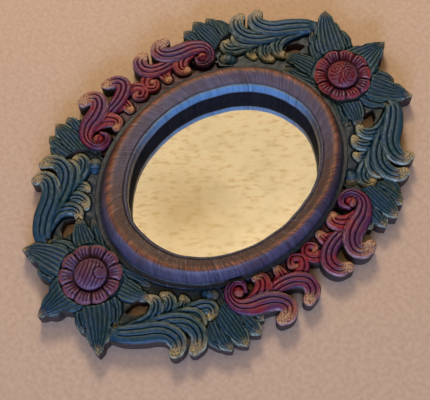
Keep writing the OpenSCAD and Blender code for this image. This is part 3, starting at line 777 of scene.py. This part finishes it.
# ---- Acanthus scrolls ----
# Long ribbons that sweep out of the leaf sprays and curl over at their ends, in three strands each.
# Painted teal to slate blue, with olive gold stippled on the curls.
slate = dry_brushed_paint("slate_teal_dry_brushed", "#053a42", "#0c3e5a", "#b89a5c", "#b0b8a0",
                          "#030a0e", 0.2)
teal_lobes = [
    lobe([(68, 134, 9), (72, 118, 12), (72, 107, 12), (69, 100, 10), (64.5, 98.5, 6)],
         14.2, (-0.2, 0.25), tone=0.3),
    lobe([(72, 122, 10), (77, 104, 13), (80.5, 94, 14), (85.5, 88, 13.5), (91, 88, 11), (92, 92, 7)],
         14.4, (-0.35, 0.2), tone=0.4),
    lobe([(76, 82, 10), (80, 79, 10)], 14.0, (), tone=0.9, tip=0.4, crown=2.2),
    lobe([(61, 146, 10), (65.5, 132, 12.5), (67, 120, 13), (64, 111, 12), (57.5, 107, 10), (52.5, 109, 7)],
         15.2, (-0.25, 0.25), tone=0.4),
    lobe([(64, 142, 10), (70, 124, 13), (76.5, 109, 14), (82.5, 101.5, 13.5), (89.5, 100.5, 12),
          (92.5, 105, 8)], 15.4, (-0.35, 0.25), tone=0.5),
    lobe([(55, 152, 11), (60.5, 140, 13), (62, 130, 13), (59, 121.5, 12), (53, 117.5, 10), (47.5, 119.5, 7)],
         16.4, (-0.3, 0.25), tone=0.5),
    lobe([(58, 150, 10), (65, 138, 14), (71, 124, 15.5), (78, 113.5, 15.5), (86.5, 107.5, 15), (96, 107, 14),
          (103, 111.5, 13), (105, 118, 9)], 16.6, (-0.35, 0.25), tone=0.45),
    lobe([(50, 158, 12), (58, 151.5, 16), (66.5, 141.5, 18), (73, 132, 18), (80, 126, 17), (88, 123.5, 16),
          (94.5, 125.5, 13.5), (96.5, 131, 10)], 17.6, (-0.38, 0.22), tone=0.6, crown=1.4)]
teal_ground = [(46, 152), (58, 158), (74, 136), (90, 112), (98, 104), (98, 90), (92, 76), (78, 70),
               (56, 96), (36, 110), (40, 118), (50, 122), (54, 130), (50, 138), (42, 142)]
teal_holes = [((94, 115.5), (6, 3.2)), ((49, 129.5), (3.8, 5.5))]
acanthus_sections = {}
for seed, (corner, quarter) in enumerate(quarters.items()):
    spray = spray_sections["top" if quarter[1] > 0 else "bottom"]
    section = section_of(teal_lobes, [teal_ground], 11.5, teal_holes, quarter,
                         [red_sections[corner], spray], seed=500 + seed * 20)
    acanthus_sections[corner] = section
    piece = carve("acanthus_scroll_" + corner, section, *box_of(section), [slate, edge_wood, back_wood])
    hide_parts("acanthus_" + corner)

# ---- Fan leaves ----
# A broad veined leaf between each acanthus and red scroll, its ribs opening like a fan.
# Painted dark teal like the sprays, with gold and cream on the ribs' outer ends.
fan_lobes = [
    lobe([(92, 70, 10), (109, 64.5, 15), (117, 61.5, 11), (122.5, 59.5, 2)], 14.2, fine=4, teeth=0.15),
    lobe([(84, 92, 10), (98, 98, 16), (109, 99.5, 13), (117, 99, 4)],
         14.6, fine=4, tone=0.6, tip=0.5, teeth=0.15),
    lobe([(88, 76, 10), (107, 73.5, 17), (120, 71, 15), (129, 69.5, 3)], 15.6, fine=5, tone=0.6, teeth=0.2),
    lobe([(84, 87, 10), (103, 91.5, 17), (115, 94, 14), (123.5, 94.5, 3)],
         15.6, fine=5, tone=0.4, teeth=0.2),
    lobe([(86, 82, 10), (105, 82.5, 18), (119, 82.5, 16), (128.5, 82.5, 4)], 16.6, fine=6, teeth=0.2)]
fan_ground = [(76, 84), (90, 100), (110, 100), (120, 92), (122, 72), (116, 60), (96, 60), (84, 66)]
for seed, (corner, quarter) in enumerate(quarters.items()):
    section = section_of(fan_lobes, [fan_ground], 12.0, [], quarter,
                         [red_sections[corner], acanthus_sections[corner]], seed=700 + seed * 20)
    piece = carve("fan_leaf_carved_" + corner, section, *box_of(section), [teal, edge_wood, back_wood])
    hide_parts("fan_leaf_" + corner)

# ---- Rosettes ----
# A domed heart in a ring of ruffled petals at the top and at the bottom of the border.
# The top one is crimson with a heart of two coils, the bottom one plum with slanting cuts.
plum = dry_brushed_paint("plum_dry_brushed", "#5a2a44", "#573a58", "#8a3a38", "#a98c9c", "#150912", 0.4)
rosette_red = dry_brushed_paint("rosette_crimson_dry_brushed", "#72101c", "#4c1c3c", "#a01e2a", "#bb8e98",
                                "#14060e", 0.35)


heart_radius = 13.6
petal_root, petal_rise, petal_curl = 16.6, 2.9, 1.8  # height by the heart, rise from it, fall at the rim
petal_gap, petal_vein, petal_crown = 2.2, 0.95, 0.35  # depth between petals, depth of a vein, rounding
heart_foot, heart_rise = 17.0, 8.3
coil_pitch, coil_depth = 3.1, 1.0
slant_pitch, slant_depth = 3.3, 1.1
knob_x, knob_y, knob_radius = 5.5, 6.0, 5.0
rosette_sink = 0.5  # how far a rosette's back runs under its seat


class Rosette:
    """A rosette's outline and surface, for carve."""
    petal_count = 10
    petal_ring = 0.80  # share of the radius at which the petals are highest

    def __init__(self, centre, radius, heart, coils, seed):
        self.centre, self.radius, self.heart, self.coils = np.array(centre), radius, heart, coils
        rng = np.random.default_rng(seed)
        self.sizes = rng.uniform(-1, 1, self.petal_count)
        self.turns = rng.uniform(-0.10, 0.10, self.petal_count)
        self.seed = seed

    def polar(self, points):
        off = points - self.centre
        r = np.hypot(off[:, 0], off[:, 1])
        angle = np.arctan2(off[:, 1], off[:, 0])
        here = (angle / (2 * math.pi) * self.petal_count) % self.petal_count
        petal = np.floor(here).astype(int) % self.petal_count
        share = here - np.floor(here) - 0.5
        return off, r, angle, petal, share

    def outline(self, points):
        _, r, _, petal, share = self.polar(points)
        arch = np.cos(share * math.pi * 0.92) ** 0.45
        edge = self.radius * (0.865 + 0.02 * self.sizes[petal] * arch + 0.125 * arch)
        return r - edge

    def surface(self, points):
        off, r, angle, petal, share = self.polar(points)
        edge = r - self.outline(points)
        s = r / edge
        z = petal_root + petal_rise * smooth(s, 0.50, self.petal_ring) - petal_curl * smooth(s, 0.88, 1.0)
        z -= petal_gap * np.clip(1 - np.abs(np.abs(share) - 0.5) * r * 0.62, 0, 1) * smooth(s, 0.5, 0.7)
        veins = np.abs(((share + self.turns[petal] * 0.3) * 4.6) % 1 - 0.5) * 2
        z -= petal_vein * smooth(veins, 0.45, 1.0) * smooth(s, 0.56, 0.66) * smooth(s, 0.97, 0.86)
        z += petal_crown * np.cos(share * math.pi) * smooth(s, 0.6, 0.8)
        ring = smooth(r, self.heart + 3.2, self.heart + 0.4)
        z -= 0.6 * ring
        dome = heart_foot + heart_rise * np.sqrt(np.clip(1 - (r / (self.heart + 0.4)) ** 2, 0, 1)) ** 1.1
        dome -= self.coil_cuts(off, r)
        on = r < self.heart
        z = np.where(on, np.maximum(dome, z), z)
        z += lobe_ripple * wobble(points, self.seed + 7, 6)
        heart_tone = 0.35 + 0.3 * np.sign(off[:, 0] * 0.8 + off[:, 1] * 0.6)
        tone = np.where(on, heart_tone, 0.5 + 0.35 * self.sizes[petal])
        paint = dict(tone=tone, tip=smooth(s, 0.86, 0.97) * ~on, rim=0.35 * smooth(s, 0.90, 0.97) * ~on,
                     low=0 * r)
        laid = np.column_stack([r, angle * 14, on * 50.0])
        return z, paint, laid

    def coil_cuts(self, off, r):
        if self.coils:
            depth = np.zeros(len(off))
            mark = np.full(len(off), 1e9)
            for side in (1, -1):
                centre = np.array((0.46, 0.22)) * self.heart * side
                local = off - centre
                reach = np.hypot(local[:, 0], local[:, 1])
                turn = np.arctan2(local[:, 1], local[:, 0]) * side
                spiral = (reach / coil_pitch - turn / (2 * math.pi)) % 1
                cut = smooth(np.abs(spiral - 0.5) * 2, 0.60, 1.0)
                closer = reach < mark
                depth = np.where(closer, cut, depth)
                mark = np.minimum(mark, reach)
            split = np.clip(1 - np.abs(off[:, 0] * 0.9 + off[:, 1] * 0.43) / 1.2, 0, 1)
            return coil_depth * np.maximum(depth, split) * smooth(r, self.heart, self.heart - 2.5)
        slant = (off[:, 0] * 0.86 + off[:, 1] * 0.5 + 0.014 * r ** 2) / slant_pitch
        cut = smooth(np.abs(slant % 1 - 0.5) * 2, 0.55, 1.0)
        knob = np.hypot(off[:, 0] - knob_x, off[:, 1] - knob_y)
        cut *= smooth(knob, knob_radius - 0.4, knob_radius + 0.2)
        cut += np.clip(1 - np.abs(knob - knob_radius) / 1.1, 0, 1)
        return slant_depth * cut * smooth(r, self.heart, self.heart - 2.5)


for end, material, coils, seed in (("top", rosette_red, True, 31), ("bottom", plum, False, 32)):
    low, high = (corner * 1000 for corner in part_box(end + "_rosette"))
    centre = ((low.x + high.x) / 2, (low.y + high.y) / 2)
    radius = (high.x - low.x) / 2
    flower = Rosette(centre, radius, heart_radius, coils, seed)
    reach = np.array((radius + 2, radius + 2))
    piece = carve(end + "_carved_rosette", flower, centre - reach, centre + reach,
                  [material, edge_wood, back_wood], back=low.z - rosette_sink)
    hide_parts(end + "_rosette")

# ---- Hanger pocket ----
# A shallow pocket with rounded corners, routed into the bare wood of the top spray's back.
# The strap and the ring lie below the back's face in it, so that the mirror hangs flat.
pocket_w, pocket_depth, pocket_corner = 24.0, 4.0, 3.0
pocket_end = 4.0  # clear length beyond the strap and the ring
cutter_start = -3.0  # well below the back
strap_low, eye_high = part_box("hanger_strap")[0] * 1000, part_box("hanging_ring")[1] * 1000
pocket_low, pocket_high = strap_low.y - pocket_end, eye_high.y + pocket_end
corner_turns = np.radians(np.arange(0, 91, 15))
pocket_outline = []
for k, (sx, sy) in enumerate(((1, 1), (-1, 1), (-1, -1), (1, -1))):
    middle = (sx * (pocket_w / 2 - pocket_corner),
              (pocket_high - pocket_corner) if sy > 0 else (pocket_low + pocket_corner))
    for turn in corner_turns + k * math.pi / 2:
        pocket_outline.append((middle[0] + pocket_corner * math.cos(turn),
                               middle[1] + pocket_corner * math.sin(turn)))
sides = len(pocket_outline)
cutter = make_mesh("pocket_cutter",
                   [(x, y, z) for z in (cutter_start, pocket_depth) for x, y in pocket_outline],
                   [list(range(sides))[::-1], list(range(sides, 2 * sides))]
                   + [[i, (i + 1) % sides, sides + (i + 1) % sides, sides + i] for i in range(sides)],
                   [back_wood])
rout = top_spray.modifiers.new("pocket", "BOOLEAN")
rout.operation, rout.object, rout.solver, rout.material_mode = "DIFFERENCE", cutter, "EXACT", "TRANSFER"
bpy.context.view_layer.objects.active = top_spray
with bpy.context.temp_override(object=top_spray, active_object=top_spray):
    bpy.ops.object.modifier_apply(modifier="pocket")
bpy.data.objects.remove(cutter)

# ---- Mirror glass and silvering ----
# Two millimetre float glass, silvered on its back and set against the rebate's shelf.
# The silver shows through the glass as a bright mirror with a faint grey green cast.


def dress(node, material):
    """Gives a CAD node its finish."""
    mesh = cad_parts[node].data
    mesh.materials.clear()
    mesh.materials.append(material)
    mesh.polygons.foreach_set("material_index", np.zeros(len(mesh.polygons), np.int32))


# Bright metal under clear glass, with a haze in clouds about 30 mm across, too weak to blur much.
def silvered_glass():
    material, tree, shader = start_material("silvered_float_glass")
    here = add(tree, "TexCoord", {}, "Object")
    haze = add(tree, "TexNoise", {"Vector": here, "Scale": 30.0, "Detail": 4.0})
    paint_amount = add(tree, "MapRange", {"Value": haze, "From Min": 0.35, "From Max": 0.7})
    paint = add(tree, "Mix", {"Factor": paint_amount, mix_a: "#f2f4f0", mix_b: "#e6ebe6"}, mix_out,
                data_type="RGBA")
    tree.links.new(paint, shader.inputs["Base Color"])
    shader.inputs["Metallic"].default_value = 1.0
    roughness = add(tree, "MapRange",
                    {"Value": haze, "From Min": 0.4, "From Max": 0.75, "To Min": 0.015, "To Max": 0.04})
    tree.links.new(roughness, shader.inputs["Roughness"])
    return material


# The protective paint over the silver, seen only if the board is taken out: dull grey, with roller
# stipple of about 1.4 mm.
def mirror_backing_paint():
    material, tree, shader = start_material("mirror_backing_paint")
    here = add(tree, "TexCoord", {}, "Object")
    stipple = add(tree, "TexNoise", {"Vector": here, "Scale": 700.0, "Detail": 2.0})
    paint = add(tree, "Mix", {"Factor": stipple, mix_a: "#6d6f70", mix_b: "#808284"}, mix_out,
                data_type="RGBA")
    tree.links.new(paint, shader.inputs["Base Color"])
    shader.inputs["Roughness"].default_value = 0.6
    bump = add(tree, "Bump", {"Height": stipple, "Strength": 0.3, "Distance": 0.0001})
    tree.links.new(bump, shader.inputs["Normal"])
    return material


dress("mirror_glass", silvered_glass())
dress("silvering", mirror_backing_paint())


# ---- Backing board and brads ----
# Thin hardboard behind the glass, which keeps the silver from being scratched.
# Eight steel brads, driven flat into the rebate's wall, hold it in.
# Hardboard is dull dark brown, with matted fibres about 2 mm long and clouds of about 55 mm.
def hardboard():
    material, tree, shader = start_material("hardboard")
    here = add(tree, "TexCoord", {}, "Object")
    fibres = add(tree, "TexNoise", {"Vector": here, "Scale": 420.0, "Detail": 6.0, "Roughness": 0.75})
    clouds = add(tree, "TexNoise", {"Vector": here, "Scale": 18.0, "Detail": 2.0})
    board = add(tree, "Mix", {"Factor": fibres, mix_a: "#5d4430", mix_b: "#7d6045"}, mix_out,
                data_type="RGBA")
    paint_amount = add(tree, "MapRange",
                       {"Value": clouds, "From Min": 0.3, "From Max": 0.7, "To Min": 0.0, "To Max": 0.35})
    paint = add(tree, "Mix", {"Factor": paint_amount, mix_a: board, mix_b: "#4c3626"}, mix_out,
                data_type="RGBA")
    tree.links.new(paint, shader.inputs["Base Color"])
    shader.inputs["Roughness"].default_value = 0.68
    bump = add(tree, "Bump", {"Height": fibres, "Strength": 0.5, "Distance": 0.0002})
    tree.links.new(bump, shader.inputs["Normal"])
    return material


# Steel with a thin zinc coat: satin bright grey, in blotches of about 1.7 mm.
def zinc_plate():
    material, tree, shader = start_material("zinc_plated_steel")
    here = add(tree, "TexCoord", {}, "Object")
    blotch = add(tree, "TexNoise", {"Vector": here, "Scale": 600.0, "Detail": 4.0})
    paint = add(tree, "Mix", {"Factor": blotch, mix_a: "#8d9093", mix_b: "#b9bcbf"}, mix_out,
                data_type="RGBA")
    tree.links.new(paint, shader.inputs["Base Color"])
    shader.inputs["Metallic"].default_value = 1.0
    roughness = add(tree, "MapRange",
                    {"Value": blotch, "From Min": 0.3, "From Max": 0.7, "To Min": 0.28, "To Max": 0.45})
    tree.links.new(roughness, shader.inputs["Roughness"])
    return material


dress("backing_board", hardboard())
steel = zinc_plate()
dress("brads", steel)

# ---- Hanger ----
# A strap folded from sheet brass holds a ring of brass wire, and two plated screws fix it in its pocket.
# The ring swings out of the pocket to meet a hook.


# Satin brass: warm yellow metal with brushed lines under 1 mm and brown tarnish in patches of about 7 mm.
def brass_plate():
    material, tree, shader = start_material("satin_brass")
    here = add(tree, "TexCoord", {}, "Object")
    lines = add(tree, "Mapping", {"Vector": here, "Scale": (2500, 120, 400)})
    brushed = add(tree, "TexNoise", {"Vector": lines, "Scale": 1.0, "Detail": 3.0})
    tarnish = add(tree, "TexNoise", {"Vector": here, "Scale": 150.0, "Detail": 4.0})
    metal = add(tree, "Mix", {"Factor": brushed, mix_a: "#b08a45", mix_b: "#cfa95c"}, mix_out,
                data_type="RGBA")
    paint_amount = add(tree, "MapRange", {"Value": tarnish, "From Min": 0.5, "From Max": 0.75,
                                          "To Min": 0.0, "To Max": 0.7})
    paint = add(tree, "Mix", {"Factor": paint_amount, mix_a: metal, mix_b: "#7b5c30"}, mix_out,
                data_type="RGBA")
    tree.links.new(paint, shader.inputs["Base Color"])
    shader.inputs["Metallic"].default_value = 1.0
    roughness = add(tree, "MapRange",
                    {"Value": tarnish, "From Min": 0.3, "From Max": 0.7, "To Min": 0.28, "To Max": 0.5})
    tree.links.new(roughness, shader.inputs["Roughness"])
    bump = add(tree, "Bump", {"Height": brushed, "Strength": 0.2, "Distance": 0.0001})
    tree.links.new(bump, shader.inputs["Normal"])
    return material


brass = brass_plate()
dress("hanger_screws", steel)
dress("hanger_strap", brass)
dress("hanging_ring", brass)

# ---- Studio ----
# A plain pale floor, a warm plastered ceiling that the glass looks up at, a soft main light from above
# and the left, and a low cool window beyond the lower right that puts a violet sheen on the slopes.
floor_half, floor_z = 3, -0.0002  # metres, a hair below the back so that the two don't flicker
floor_mesh = bpy.data.meshes.new("floor")
floor_corners = ((-1, -1), (1, -1), (1, 1), (-1, 1))
floor_mesh.from_pydata([(x * floor_half, y * floor_half, floor_z) for x, y in floor_corners],
                       [], [[0, 1, 2, 3]])
floor = bpy.data.objects.new("floor", floor_mesh)
# Matt card, pale tan, with clouds in its fibres about 4 mm across.
material, tree, shader = start_material("pale_floor")
here = add(tree, "TexCoord", {}, "Object")
cloud = add(tree, "TexNoise", {"Vector": here, "Scale": 260.0, "Detail": 5.0})
paint_amount = add(tree, "MapRange", {"Value": cloud, "From Min": 0.35, "From Max": 0.65})
paint = add(tree, "Mix", {"Factor": paint_amount, mix_a: "#b89b82", mix_b: "#c2a78d"}, mix_out,
            data_type="RGBA")
tree.links.new(paint, shader.inputs["Base Color"])
shader.inputs["Roughness"].default_value = 0.9
floor_mesh.materials.append(material)

ceiling_z = 1.7
ceiling_corners = ((-2.6, -0.9), (-2.6, 2.4), (0.45, 2.4), (0.45, -0.9))
ceiling_mesh = bpy.data.meshes.new("ceiling")
ceiling_mesh.from_pydata([(x, y, ceiling_z) for x, y in ceiling_corners], [], [[0, 1, 2, 3]])
ceiling = bpy.data.objects.new("ceiling", ceiling_mesh)
# Rough cream plaster, in flecks about 30 by 10 mm, coarse enough to show in the glass. It glows a
# little, as a lit ceiling does, and has one darker stain.
material, tree, shader = start_material("cream_plaster")
here = add(tree, "TexCoord", {}, "Object")
stretched = add(tree, "Mapping",
                {"Vector": here, "Rotation": (0, 0, math.radians(50)), "Scale": (1 / 34, 1 / 95, 1)},
                vector_type="TEXTURE")
pebble = add(tree, "TexNoise", {"Vector": stretched, "Scale": 1.0, "Detail": 3.0, "Roughness": 0.55})
shade_amount = add(tree, "MapRange", {"Value": pebble, "From Min": 0.26, "From Max": 0.5})
shade = add(tree, "Mix", {"Factor": shade_amount, mix_a: "#bd9e66", mix_b: "#dbc396"}, mix_out,
            data_type="RGBA")
spot = add(tree, "VectorMath", {0: here, 1: (-0.62, 0.33, 1.7)}, "Value", operation="DISTANCE")
shade_amount = add(tree, "MapRange",
                   {"Value": spot, "From Min": 0.2, "From Max": 0.02, "To Min": 0.0, "To Max": 0.55})
shade = add(tree, "Mix", {"Factor": shade_amount, mix_a: shade, mix_b: "#a8834c"}, mix_out,
            data_type="RGBA")
shader.inputs["Roughness"].default_value = 0.95
tree.links.new(shade, shader.inputs["Base Color"])
tree.links.new(shade, shader.inputs["Emission Color"])
shader.inputs["Emission Strength"].default_value = 0.85
ceiling_mesh.materials.append(material)
for prop in (floor, ceiling):
    bpy.context.scene.collection.objects.link(prop)


def softbox(name, here, size, watts, colour):
    data = bpy.data.lights.new(name, "AREA")
    data.shape, data.size, data.size_y = "RECTANGLE", *size
    data.energy, data.color = watts, linear(colour)[:3]
    lamp = bpy.data.objects.new(name, data)
    lamp.location = here
    lamp.rotation_mode = "QUATERNION"
    lamp.rotation_quaternion = (-Vector(here)).to_track_quat("-Z", "Y")
    bpy.context.scene.collection.objects.link(lamp)


softbox("main_softbox", (-1.0, 0.7, 1.2), (0.45, 0.45), 17, "#fff0dc")
softbox("cool_window", (1.9, -1.8, 1.0), (1.8, 0.9), 105, "#a4c2ff")
world = bpy.data.worlds.new("studio")
bpy.context.scene.world = world
world.use_nodes = True
world.node_tree.nodes["Background"].inputs["Color"].default_value = linear("#d8cfc8")
world.node_tree.nodes["Background"].inputs["Strength"].default_value = 0.22
